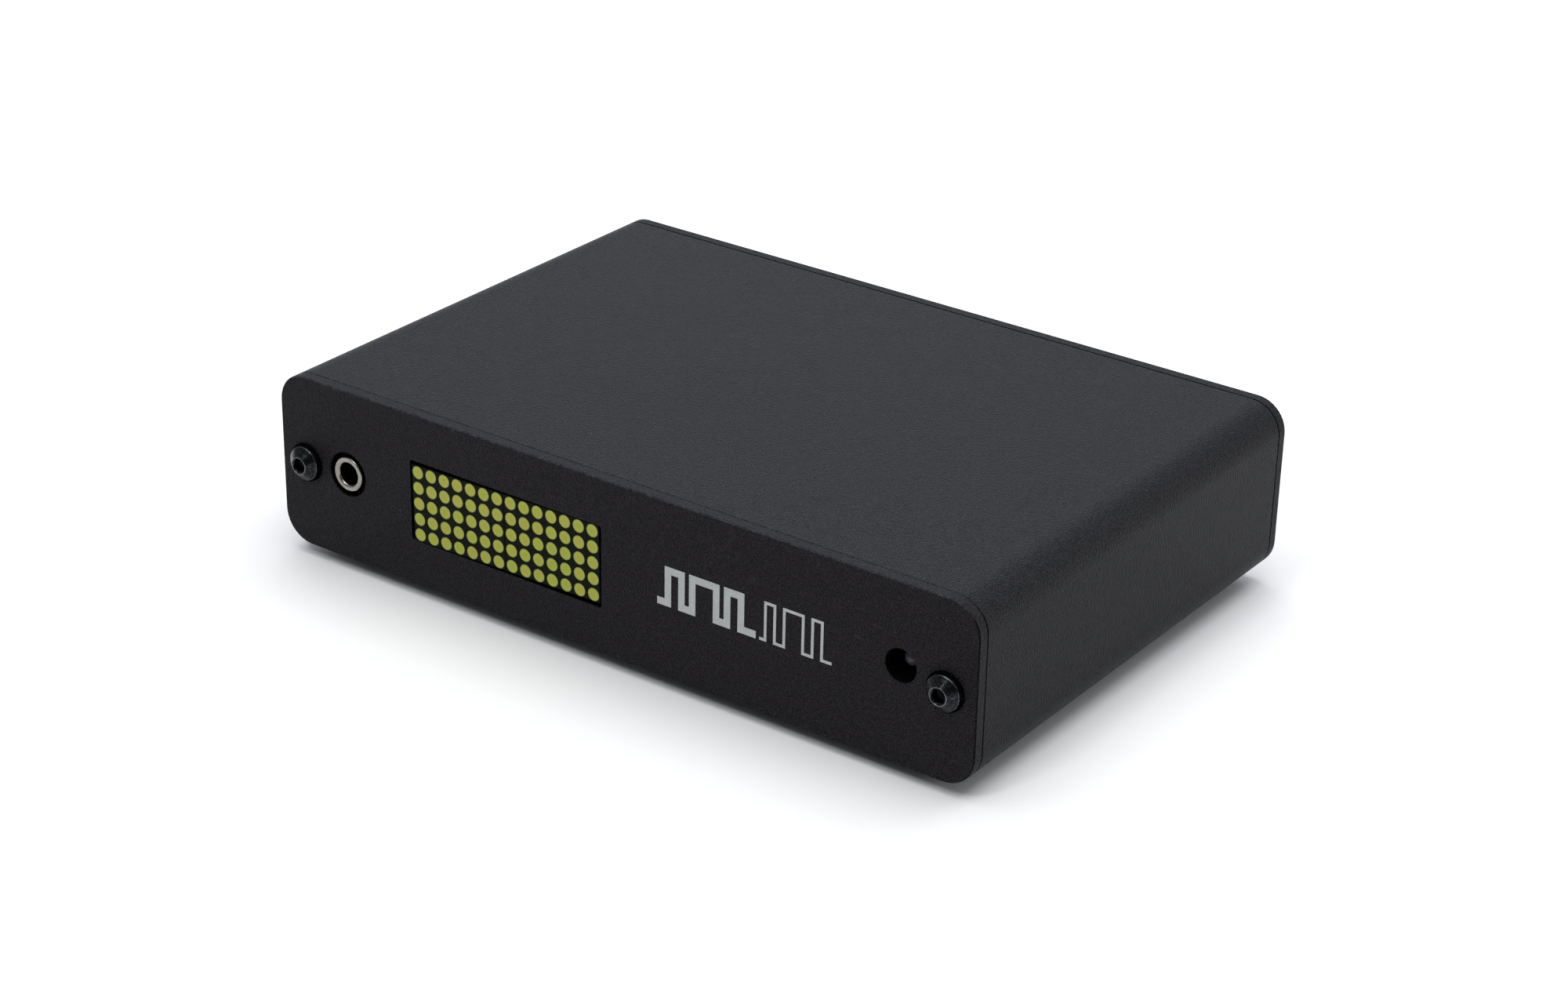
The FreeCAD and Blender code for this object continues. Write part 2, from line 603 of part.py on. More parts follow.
def make_usb_springs(s):
    """The two contact leaves above (s = 1) or below (s = -1) the tongue."""
    out = []
    face = TONGUE_H / 2
    for sx in (-1, 1):
        cx = USB_X + sx * 1.25
        path = [(USB_ROOT_Y + 0.02, USB_Z + s * (face - 0.52)), (77.2, USB_Z + s * (face - 0.4)),
                (80.4, USB_Z + s * (face + 0.2)), (81.2, USB_Z + s * (face + 0.2)),
                (82.2, USB_Z + s * (face - 0.25))]
        out.append(strip_yz(path, 0.2, cx - 0.4, cx + 0.4))
    return out


def make_usb_terminals():
    """Fixed rear halves of the four contacts, bent down through the board."""
    out = []
    lo = BOARD_TOP - BOARD_T - 1.4
    face = TONGUE_H / 2
    for s in (-1, 1):
        yb = USB_Y0 - (0.95 if s < 0 else 2.3)
        for sx in (-1, 1):
            cx = USB_X + sx * 1.25
            z = USB_Z + s * (face - 0.52)
            path = [(USB_ROOT_Y - 0.06, z), (yb, z), (yb, lo)]
            out.append(strip_yz(path, 0.25, cx - 0.4, cx + 0.4))
    return out


USB_SHELL_HOLES = [(USB_X + sx * 1.25, USB_Z + s * (TONGUE_H / 2 - 0.52)) for s in (-1, 1) for sx in (-1, 1)]

# ---------------------------------------------------------------- probe header
HDR_Y1 = DEPTH + 0.3
HDR_Y0 = HDR_Y1 - HDR_D
HDR_Z = BOARD_TOP + HDR_H / 2
HDR_PIN = 0.32


def header_pins():
    for c in range(HDR_N):
        for s in (-1, 1):
            yield HDR_X + (c - (HDR_N - 1) / 2) * 2.54, HDR_Z + s * 1.27, HDR_Y0 - 1.6 - (2.54 if s > 0 else 0)


def make_shroud():
    body = bx(HDR_X - HDR_W / 2, HDR_X + HDR_W / 2, HDR_Y0, HDR_Y1, BOARD_TOP + 0.02, BOARD_TOP + HDR_H)
    rim = [e for e in body.Edges if e.BoundBox.YMin > HDR_Y1 - 1e-6]
    body = body.makeChamfer(0.2, rim)
    body = body.cut(bx(HDR_X - 15.5, HDR_X + 15.5, HDR_Y1 - 6.4, HDR_Y1 + 1, HDR_Z - 3.2, HDR_Z + 3.2))
    body = body.cut(bx(HDR_X - 2.25, HDR_X + 2.25, HDR_Y1 - 6.4, HDR_Y1 + 1, HDR_Z + 3.0, HDR_Z + 6))
    holes = [bx(x - 0.34, x + 0.34, HDR_Y0 - 1, HDR_Y1, z - 0.34, z + 0.34) for x, z, _ in header_pins()]
    return body.cut(Part.makeCompound(holes))


def make_header_pins():
    out = []
    lo = BOARD_TOP - BOARD_T - 1.4
    for x, z, yb in header_pins():
        a = bx(x - HDR_PIN, x + HDR_PIN, yb - HDR_PIN, HDR_Y1 - 1.5, z - HDR_PIN, z + HDR_PIN)
        tip = [e for e in a.Edges if e.BoundBox.YMin > HDR_Y1 - 1.5 - 1e-6]
        a = a.makeChamfer(0.15, tip)
        b = bx(x - HDR_PIN, x + HDR_PIN, yb - HDR_PIN, yb + HDR_PIN, lo, z)
        out.append(join([a, b]))
    return out


# ---------------------------------------------------------------- passives
CAPS = [(30.5, 12.5), (45.0, 24.0)]
INDUCTOR = (26.0, 24.0)
CRYSTAL = (-21.0, 56.0)
CERAMICS = [(7.5, 36.6, 0), (12.0, 36.6, 0), (17.0, 36.6, 0), (21.5, 44.0, 1), (21.5, 48.5, 1),
            (7.0, 52.0, 0), (13.0, 52.0, 0), (-1.2, 46.0, 1), (-27.5, 50.0, 0), (-46.0, 55.0, 1),
            (-31.0, 60.0, 0), (31.0, 30.0, 0), (0.0, 57.0, 0), (28.0, 57.0, 0)]
RESISTORS = [(-3.0 + 3.0 * i, 67.0, 1) for i in range(12)] + [(-33.0, 63.5, 0), (-43.0, 63.5, 0),
             (-44.0, 24.0, 1), (-47.0, 24.0, 1), (-50.0, 24.0, 1), (-53.0, 24.0, 1)]


def chip_part(x, y, turned, w=2.0, d=1.25, h=0.75):
    a, b = (d, w) if turned else (w, d)
    return bx(x - a / 2, x + a / 2, y - b / 2, y + b / 2, BOARD_TOP + 0.03, BOARD_TOP + 0.03 + h)


def make_capacitor(x, y):
    z = BOARD_TOP + 0.03
    base = bx(x - 3.3, x + 3.3, y - 3.3, y + 3.3, z, z + 0.5)
    corner = [e for e in base.Edges if abs(e.BoundBox.ZMax - e.BoundBox.ZMin) > 0.4 and e.BoundBox.YMin > y]
    base = base.makeChamfer(1.0, corner)
    z += 0.55
    pts = [(0, z), (2.9, z), (3.15, z + 0.25), (3.15, z + 0.9), (2.95, z + 1.1), (2.95, z + 1.3),
           (3.15, z + 1.5), (3.15, z + 5.1), (2.95, z + 5.3), (0, z + 5.3)]
    face = Part.Face(Part.makePolygon([V(x + r, y, h) for r, h in pts + pts[:1]]))
    can = face.revolve(V(x, y, 0), V(0, 0, 1), 360)
    return base, can


def make_crystal():
    x, y = CRYSTAL
    z = BOARD_TOP + 0.03
    a, r = 3.35, 2.3
    def oval(rr, z0, z1):
        return join([bx(x - a, x + a, y - rr, y + rr, z0, z1), cyl_z(x - a, y, rr, z0, z1), cyl_z(x + a, y, rr, z0, z1)])
    return join([oval(r + 0.3, z, z + 0.4), oval(r, z + 0.4, z + 3.4)])


def make_inductor():
    x, y = INDUCTOR
    z = BOARD_TOP + 0.03
    body = bx(x - 3.0, x + 3.0, y - 3.0, y + 3.0, z, z + 2.8)
    up = [e for e in body.Edges if abs(e.BoundBox.ZMax - e.BoundBox.ZMin) > 2]
    body = body.makeChamfer(1.2, up)
    body = body.cut(cyl_z(x, y, 2.5, z + 2.4, z + 4))
    return join([body, cyl_z(x, y, 2.2, z + 2.0, z + 2.7)])


# ---------------------------------------------------------------- main board
def make_main_board():
    z0, z1 = BOARD_TOP - BOARD_T, BOARD_TOP
    made = bx(-BOARD_HALF_W, BOARD_HALF_W, BOARD_Y0, BOARD_Y1, z0, z1)
    up = [e for e in made.Edges if abs(e.BoundBox.ZMax - e.BoundBox.ZMin) > 1]
    made = made.makeChamfer(0.6, up)
    made = made.cut(bx(DISP_X - DBOARD_W / 2 - 1.2, DISP_X + DBOARD_W / 2 + 1.2, BOARD_Y0 - 1, 9.7, z0 - 1, z1 + 1))
    holes = [cyl_z(x, LINK_PIN_Y, 0.5, z0 - 1, z1 + 1) for x in LINK_X]
    holes += [cyl_z(x, yb, 0.5, z0 - 1, z1 + 1) for x, _, yb in header_pins()]
    x = JACK_X
    holes += [cyl_z(x + 2.9, 15.5, 0.5, z0 - 1, z1 + 1), cyl_z(x - 2.9, 4.25, 0.5, z0 - 1, z1 + 1),
              bx(x - 0.65, x + 0.65, 3.5, 4.05, z0 - 1, z1 + 1)]
    x = DC_X
    holes += [bx(x - 1.15, x + 1.15, 11.55, 12.15, z0 - 1, z1 + 1), bx(x - 1.05, x + 1.05, 13.1, 13.7, z0 - 1, z1 + 1)]
    for s in (-1, 1):
        yb = USB_Y0 - (0.95 if s < 0 else 2.3)
        for sx in (-1, 1):
            holes.append(cyl_z(USB_X + sx * 1.25, yb, 0.5, z0 - 1, z1 + 1))
        cx = USB_X + s * (USB_W / 2 - 0.15)
        holes.append(bx(cx - 0.4, cx + 0.4, USB_Y0 + 4.7, USB_Y0 + 7.7, z0 - 1, z1 + 1))
    return made.cut(Part.makeCompound(holes))


# ---------------------------------------------------------------- assembly
def build():
    keep("case_extrusion", make_case())
    keep("front_panel", make_front_panel())
    keep("rear_panel", make_rear_panel())
    keep("front_screws", *[make_screw(s * SCREW_X, 0, -1) for s in (-1, 1)])
    keep("rear_screws", *[make_screw(s * SCREW_X, DEPTH, 1) for s in (-1, 1)])
    keep("front_washers", *[make_washer(s * SCREW_X, 0, -1) for s in (-1, 1)])
    keep("rear_washers", *[make_washer(s * SCREW_X, DEPTH, 1) for s in (-1, 1)])
    keep("rubber_feet", *[make_foot(sx * FOOT_X, DEPTH / 2 + sy * FOOT_Y) for sx in (-1, 1) for sy in (-1, 1)])

    keep("display_housing_left", make_module(0))
    keep("display_housing_right", make_module(1))
    keep("display_dots_left", *make_dots(0))
    keep("display_dots_right", *make_dots(1))
    keep("display_pins", *make_display_pins())
    keep("display_board", make_display_board())
    drivers, driver_leads = [], []
    for side in (-1, 1):
        body = chip_body(0, 0, 9.9, 3.9, 1.45, 0)
        leads = two_sides(0, 0, 9.9, 3.9, 8, 1.27, True, zb=0.0, width=0.42)
        placed = []
        for s in [body] + leads:
            t = s.copy()
            t.rotate(V(0, 0, 0), V(1, 0, 0), -90)
            t.translate(V(DISP_X + side * 16.4, DBOARD_Y + DBOARD_T + 0.005, DISP_Z))
            placed.append(level(t))
        drivers.append(placed[0])
        driver_leads += placed[1:]
    keep("display_driver_chips", *drivers)

    keep("display_link_header",
         bx(LINK_X[0] - 1.27, LINK_X[-1] + 1.27, LINK_Y0, LINK_Y1, BOARD_TOP + 0.02, BOARD_TOP + 2.54).cut(
             Part.makeCompound([bx(x - 0.34, x + 0.34, LINK_Y0 - 1, LINK_PIN_Y + 0.34, LINK_Z - 0.34, LINK_Z + 0.34) for x in LINK_X]
                               + [bx(x - 0.34, x + 0.34, LINK_PIN_Y - 0.34, LINK_PIN_Y + 0.34, BOARD_TOP - 1, LINK_Z + 0.3) for x in LINK_X])))
    pins = []
    for x in LINK_X:
        a = bx(x - 0.32, x + 0.32, DBOARD_Y + 0.25, LINK_PIN_Y + 0.32, LINK_Z - 0.32, LINK_Z + 0.32)
        b = bx(x - 0.32, x + 0.32, LINK_PIN_Y - 0.32, LINK_PIN_Y + 0.32, BOARD_TOP - BOARD_T - 1.4, LINK_Z)
        pins.append(join([a, b]))
    keep("display_link_pins", *pins)

    keep("phone_jack_housing", make_jack_housing())
    keep("phone_jack_bushing", make_jack_bushing())
    keep("phone_jack_tip_spring", make_tip_spring())
    keep("phone_jack_ring_spring", make_ring_spring())
    keep("phone_jack_terminals", *make_jack_terminals())

    keep("power_jack_housing", make_dc_housing())
    keep("power_jack_pin", make_dc_pin())
    keep("power_jack_spring", make_dc_spring())
    keep("power_jack_terminals", *make_dc_terminals())

    shell = make_usb_shell()
    shell = shell.cut(Part.makeCompound([bx(x - 0.55, x + 0.55, USB_Y0 - 1, USB_Y0 + 1, z - 0.3, z + 0.3) for x, z in USB_SHELL_HOLES]))
    keep("usb_shell", shell)
    keep("usb_insulator", make_usb_insulator())
    keep("usb_upper_contacts", *make_usb_springs(1))
    keep("usb_lower_contacts", *make_usb_springs(-1))
    keep("usb_terminals", *make_usb_terminals())

    keep("probe_header_shroud", make_shroud())
    keep("probe_header_pins", *make_header_pins())

    keep("main_board", make_main_board())
    keep("logic_chip", chip_body(*LOGIC, BOARD_TOP))
    keep("memory_chip", chip_body(*MEMORY, BOARD_TOP))
    keep("usb_interface_chip", chip_body(*USBC, BOARD_TOP))
    keep("input_buffer_chips", *[chip_body(*b, BOARD_TOP) for b in BUFS])
    keep("voltage_regulator", chip_body(*REG, BOARD_TOP))
    keep("chip_leads", *(make_leads() + driver_leads))
    cans = [make_capacitor(x, y) for x, y in CAPS]
    keep("capacitor_bases", *[b for b, _ in cans])
    keep("capacitor_cans", *[c for _, c in cans])
    keep("power_inductor", make_inductor())
    keep("crystal_can", make_crystal())
    keep("ceramic_capacitors", *[chip_part(*c) for c in CERAMICS])
    keep("chip_resistors", *[chip_part(*r, w=1.6, d=0.85, h=0.5) for r in RESISTORS])


build()
os.makedirs(OUT, exist_ok=True)
for name, shapes in parts.items():
    solids = []
    for s in shapes:
        got = s.Solids
        if not got:
            raise SystemExit(name + " has no solid")
        for g in got:
            g = g.copy()
            g.translate(SHIFT)
            if not g.isValid() or g.Volume <= 0:
                print("BAD", name, g.isValid(), g.Volume)
            solids.append(g)
    made = solids[0] if len(solids) == 1 else Part.makeCompound(solids)
    made.exportStep(os.path.join(OUT, name + ".step"))
print(len(parts), "nodes", sum(len(s) for s in parts.values()), "pieces")
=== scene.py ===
"""Looks of the compact bench logic analyzer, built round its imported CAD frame. Metres."""
import json
import math

import bmesh
import bpy
from mathutils import Matrix, Vector


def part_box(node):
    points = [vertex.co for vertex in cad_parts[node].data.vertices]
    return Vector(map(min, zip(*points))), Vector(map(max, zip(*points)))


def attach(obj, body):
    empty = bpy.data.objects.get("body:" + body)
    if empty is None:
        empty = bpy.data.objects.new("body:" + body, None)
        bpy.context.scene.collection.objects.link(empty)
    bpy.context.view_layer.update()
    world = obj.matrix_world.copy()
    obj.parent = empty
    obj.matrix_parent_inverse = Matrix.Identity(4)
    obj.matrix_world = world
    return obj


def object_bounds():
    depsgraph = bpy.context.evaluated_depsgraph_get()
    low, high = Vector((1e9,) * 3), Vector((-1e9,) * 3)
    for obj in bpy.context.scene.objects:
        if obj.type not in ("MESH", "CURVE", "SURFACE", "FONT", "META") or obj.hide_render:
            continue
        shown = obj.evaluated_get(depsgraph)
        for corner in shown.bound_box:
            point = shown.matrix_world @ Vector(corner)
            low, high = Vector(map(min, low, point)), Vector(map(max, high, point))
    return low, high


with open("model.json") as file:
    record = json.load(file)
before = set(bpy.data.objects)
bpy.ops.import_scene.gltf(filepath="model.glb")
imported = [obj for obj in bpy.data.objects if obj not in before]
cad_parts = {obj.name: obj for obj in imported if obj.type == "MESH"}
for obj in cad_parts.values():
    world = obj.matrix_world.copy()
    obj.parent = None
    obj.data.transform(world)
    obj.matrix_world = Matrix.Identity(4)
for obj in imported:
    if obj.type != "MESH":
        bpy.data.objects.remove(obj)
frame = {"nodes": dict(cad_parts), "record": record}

scene = bpy.context.scene
NODES = frame["nodes"]
cad_lo, cad_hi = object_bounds()
MM = 0.001

# ---------------------------------------------------------------- camera
# pinhole camera: focal length for a 36 mm wide sensor, position, and its right, up and back axes
cam_data = bpy.data.cameras.new("main_camera")
cam = bpy.data.objects.new("main_camera", cam_data)
scene.collection.objects.link(cam)
scene.camera = cam
cam_data.sensor_fit = "HORIZONTAL"
cam_data.sensor_width = 36.0
cam_data.lens = 76.70879
cam_data.clip_start, cam_data.clip_end = 0.01, 50.0
right = Vector((0.80888863, 0.58765103, 0.01911705))
up = Vector((-0.27025999, 0.34273794, 0.89971676))
back = Vector((0.52216734, -0.73293723, 0.43605538))
place = Matrix((right, up, back)).transposed().to_4x4()
place.translation = Vector((266.58254, -372.90537, 232.77519)) * MM
cam.matrix_world = place

# ---------------------------------------------------------------- sizes read from the frame
panel_lo, panel_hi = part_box("front_panel")
FRONT_Y = panel_lo.y
panel_far = -FRONT_Y                                 # both panels stand this far from the middle
DISP_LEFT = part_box("display_dots_left")
DISP_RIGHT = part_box("display_dots_right")
DISP = (DISP_LEFT[0] + DISP_RIGHT[1]) / 2          # centre of the dot field
SCREW_LO, SCREW_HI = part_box("front_screws")
SCREW_Z = (SCREW_LO.z + SCREW_HI.z) / 2
HEAD_R = (SCREW_HI.z - SCREW_LO.z) / 2
SCREW_X = (SCREW_HI.x - SCREW_LO.x) / 2 - HEAD_R
JACK_LO, JACK_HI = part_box("phone_jack_bushing")
JACK_C = (JACK_LO + JACK_HI) / 2
TILT = math.radians(1.03)


# ---------------------------------------------------------------- node helpers
class Net:
    """A small builder for one material's node tree."""

    def __init__(self, name):
        self.mat = bpy.data.materials.new(name)
        self.mat.use_nodes = True
        self.nt = self.mat.node_tree
        self.nt.nodes.clear()
        self.out = self.nt.nodes.new("ShaderNodeOutputMaterial")
        self.bsdf = self.nt.nodes.new("ShaderNodeBsdfPrincipled")
        self.nt.links.new(self.bsdf.outputs["BSDF"], self.out.inputs["Surface"])
        self.coord = self.nt.nodes.new("ShaderNodeTexCoord").outputs["Object"]

    def put(self, socket, value):
        if isinstance(value, bpy.types.NodeSocket):
            self.nt.links.new(value, socket)
        else:
            socket.default_value = value

    def set(self, **values):
        for key, value in values.items():
            name = key.replace("_", " ")
            if len(value) == 3 if isinstance(value, (tuple, list)) else False:
                if name in ("Base Color", "Coat Tint", "Sheen Tint", "Specular Tint"):
                    value = (*value, 1.0)
            self.put(self.bsdf.inputs[name], value)
        return self

    def scaled(self, scale, vector=None, rotation=(0, 0, 0)):
        m = self.nt.nodes.new("ShaderNodeMapping")
        m.inputs["Scale"].default_value = scale
        m.inputs["Rotation"].default_value = rotation
        self.nt.links.new(vector or self.coord, m.inputs["Vector"])
        return m.outputs["Vector"]

    def noise(self, scale, detail=3.0, rough=0.55, vector=None, distortion=0.0):
        n = self.nt.nodes.new("ShaderNodeTexNoise")
        n.inputs["Scale"].default_value = scale
        n.inputs["Detail"].default_value = detail
        n.inputs["Roughness"].default_value = rough
        n.inputs["Distortion"].default_value = distortion
        self.nt.links.new(vector or self.coord, n.inputs["Vector"])
        return n.outputs["Fac"]

    def cells(self, scale, feature="F1", metric="EUCLIDEAN", vector=None, output="Distance", randomness=1.0):
        n = self.nt.nodes.new("ShaderNodeTexVoronoi")
        n.feature = feature
        n.distance = metric
        n.inputs["Scale"].default_value = scale
        n.inputs["Randomness"].default_value = randomness
        self.nt.links.new(vector or self.coord, n.inputs["Vector"])
        return n.outputs[output]

    def remap(self, value, a, b, c, d, smooth=False):
        n = self.nt.nodes.new("ShaderNodeMapRange")
        n.interpolation_type = "SMOOTHSTEP" if smooth else "LINEAR"
        n.clamp = True if not smooth else n.clamp
        self.put(n.inputs["Value"], value)
        n.inputs["From Min"].default_value = a
        n.inputs["From Max"].default_value = b
        n.inputs["To Min"].default_value = c
        n.inputs["To Max"].default_value = d
        return n.outputs["Result"]

    def math(self, op, a, b=None, c=None):
        n = self.nt.nodes.new("ShaderNodeMath")
        n.operation = op
        self.put(n.inputs[0], a)
        if b is not None:
            self.put(n.inputs[1], b)
        if c is not None:
            self.put(n.inputs[2], c)
        return n.outputs[0]

    def mix(self, fac, a, b, blend="MIX"):
        n = self.nt.nodes.new("ShaderNodeMix")
        n.data_type = "RGBA"
        n.blend_type = blend
        self.put(n.inputs[0], fac)
        for socket, value in ((n.inputs[6], a), (n.inputs[7], b)):
            if isinstance(value, (tuple, list)) and len(value) == 3:
                value = (*value, 1.0)
            self.put(socket, value)
        return n.outputs[2]

    def split(self, vector=None):
        n = self.nt.nodes.new("ShaderNodeSeparateXYZ")
        self.nt.links.new(vector or self.coord, n.inputs[0])
        return n.outputs[0], n.outputs[1], n.outputs[2]

    def join(self, x, y, z):
        n = self.nt.nodes.new("ShaderNodeCombineXYZ")
        for i, v in enumerate((x, y, z)):
            self.put(n.inputs[i], v)
        return n.outputs[0]

    def bump(self, height, strength, distance, normal=None):
        n = self.nt.nodes.new("ShaderNodeBump")
        n.inputs["Strength"].default_value = strength
        n.inputs["Distance"].default_value = distance
        self.put(n.inputs["Height"], height)
        if normal is not None:
            self.nt.links.new(normal, n.inputs["Normal"])
        self.last_normal = n.outputs["Normal"]
        return n.outputs["Normal"]


def tone(color, k):
    return tuple(min(1.0, c * k) for c in color)


def surface(name, color, rough, metallic=0.0, spec=0.5, patch=(60.0, 0.12), grain=(5200.0, 0.25, 0.00002),
            spread=0.06, specks=None, brushed=None, mottle=0.35, recolour=None):
    """General finish: slow colour patches, uneven gloss, and a fine grain in the surface itself."""
    n = Net(name)
    slow = n.noise(patch[0], 4.0)
    fine = n.noise(grain[0], *(grain[3:] or (2.0, 0.6)), vector=n.scaled((1, 1, 1), rotation=(0.6, 0.4, 0.9)))
    col = n.mix(n.remap(slow, 0.3, 0.7, 0.0, 1.0), tone(color, 1 - patch[1]), tone(color, 1 + patch[1]))
    col = n.mix(n.remap(fine, 0.35, 0.65, 0.0, mottle), col, tone(color, 1.45 if mottle <= 0.35 else 3.5))
    for cell, radius, tint in specks or ():
        spots = n.cells(cell)
        mask = n.remap(spots, radius * 0.5, radius, 1.0, 0.0)
        rare = n.remap(n.noise(cell * 0.31, 1.0), 0.56, 0.6, 0.0, 1.0)
        col = n.mix(n.math("MULTIPLY", mask, rare), col, tint)
    if recolour:
        col = recolour(n, col)
    rough_v = n.remap(n.noise(patch[0] * 7, 3.0), 0.3, 0.7, rough - spread, rough + spread)
    n.set(Base_Color=col, Roughness=rough_v, Metallic=metallic)
    n.set(Specular_IOR_Level=spec)
    if brushed:
        lines = n.noise(brushed[0], 2.0, 0.5, vector=n.scaled(brushed[1]))
        first = n.bump(lines, brushed[2], brushed[3])
        n.set(Normal=n.bump(fine, grain[1], grain[2], normal=first))
    else:
        n.set(Normal=n.bump(fine, grain[1], grain[2]))
    return n


def turned(n, centres_x, z, strength, pitch=0.00012):
    """Concentric lathe marks round axes along Y at +-centres_x (or one axis) and height z."""
    x, _, zz = n.split()
    if isinstance(centres_x, tuple):
        sx = n.math("MULTIPLY", n.math("SIGN", x), centres_x[0])
    else:
        sx = centres_x
    dx = n.math("SUBTRACT", x, sx)
    dz = n.math("SUBTRACT", zz, z)
    r = n.math("SQRT", n.math("ADD", n.math("MULTIPLY", dx, dx), n.math("MULTIPLY", dz, dz)))
    rings = n.noise(1.0, 3.0, 0.7, vector=n.join(n.math("DIVIDE", r, pitch), 0.0, 0.0))
    return dx, dz, r, rings


CASE_R = 5.0 * MM


def outline_depth(n):
    """Distance inside the case's rounded outline (0 on it), from a point's x and z."""
    x, y, z = n.split()
    half_x, half_z = panel_hi.x, (panel_hi.z - panel_lo.z) / 2
    qx = n.math("MAXIMUM", n.math("SUBTRACT", n.math("ABSOLUTE", x), half_x - CASE_R), 0.0)
    dz = n.math("ABSOLUTE", n.math("SUBTRACT", z, (panel_hi.z + panel_lo.z) / 2))
    qz = n.math("MAXIMUM", n.math("SUBTRACT", dz, half_z - CASE_R), 0.0)
    d = n.math("SQRT", n.math("ADD", n.math("MULTIPLY", qx, qx), n.math("MULTIPLY", qz, qz)))
    return n.math("SUBTRACT", CASE_R, d)


def end_edges(lower, upper, dark_inside):
    """Recolours the broken edges at both ends of a piece, given the depths behind each end face
    between which they lie: painted shade, black, where they face sideways, and a broken painted highlight where they
    face up. Painted shade turns the hole walls black."""
    def apply(n, col):
        x, y, z = n.split()
        behind = n.math("SUBTRACT", panel_far, n.math("ABSOLUTE", y))
        depth = outline_depth(n)
        near = n.remap(depth, 0.28 * MM, 0.34 * MM, 1.0, 0.0)
        edge = n.math("MULTIPLY", n.remap(behind, lower, lower + 0.03 * MM, 0.0, 1.0),
                      n.remap(behind, upper - 0.03 * MM, upper, 1.0, 0.0))
        edge = n.math("MULTIPLY", edge, near)
        normal = n.nt.nodes.new("ShaderNodeNewGeometry").outputs["True Normal"]
        nz = n.split(normal)[2]
        # painted highlight on the upward-facing edges, broken into dashes by noise; the side-facing edges get painted
        # shade, near black
        broken_highlight = n.noise(1500.0, 3.0, 0.6)
        lit = n.math("MULTIPLY", n.remap(nz, 0.35, 0.66, 0.0, 1.0), n.remap(broken_highlight, 0.38, 0.64, 0.35, 1.0))
        col = n.mix(edge, col, n.mix(lit, (0.0012, 0.0012, 0.0014), (0.046, 0.047, 0.053)))
        if dark_inside:
            # the panel's thin edges were polished like the sleeve, so they are a little cooler than its face
            facing = n.remap(n.math("ABSOLUTE", n.split(normal)[1]), 0.2, 0.5, 1.0, 0.0)
            col = n.mix(facing, col, (1.03, 1.18, 1.17), "MULTIPLY")
            # painted shade: the walls of the holes through the panel go near black
            painted_hole_shade = n.math("MULTIPLY", n.remap(behind, 0.12 * MM, 0.2 * MM, 0.0, 1.0),
                          n.remap(depth, 0.4 * MM, 0.55 * MM, 0.0, 1.0))
            col = n.mix(painted_hole_shade, col, (0.0012, 0.0012, 0.0013))
        return col
    return apply


# ---------------------------------------------------------------- materials
CASE = (0.0066, 0.0066, 0.0076)
PANEL = (0.0064, 0.0056, 0.0065)

# end_edges paints shade, black, on the side-facing end edges (on the case, in the seam behind each panel) and a
# painted highlight on the upward-facing ones
case_mat = surface("case_anodised", CASE, 0.42, spec=0.06, patch=(24.0, 0.05),
                   grain=(4930.0, 1.0, 0.0002, 0.0, 0.5), spread=0.006, mottle=1.0,
                   recolour=end_edges(1.95 * MM, 2.16 * MM, False),
                   specks=((230.0, 0.04, (0.075, 0.075, 0.08)), (420.0, 0.06, (0.001, 0.001, 0.001)),
                           (1100.0, 0.06, (0.13, 0.13, 0.135))))
panel_mat = surface("panel_anodised", PANEL, 0.45, spec=0.06, patch=(30.0, 0.06),
                    grain=(5370.0, 1.0, 0.00022, 0.0, 0.5), spread=0.008, mottle=1.0,
                    recolour=end_edges(0.01 * MM, 0.22 * MM, True),
                    specks=((250.0, 0.045, (0.085, 0.08, 0.072)), (520.0, 0.05, (0.001, 0.001, 0.001)),
                            (1500.0, 0.085, (0.16, 0.16, 0.15))))


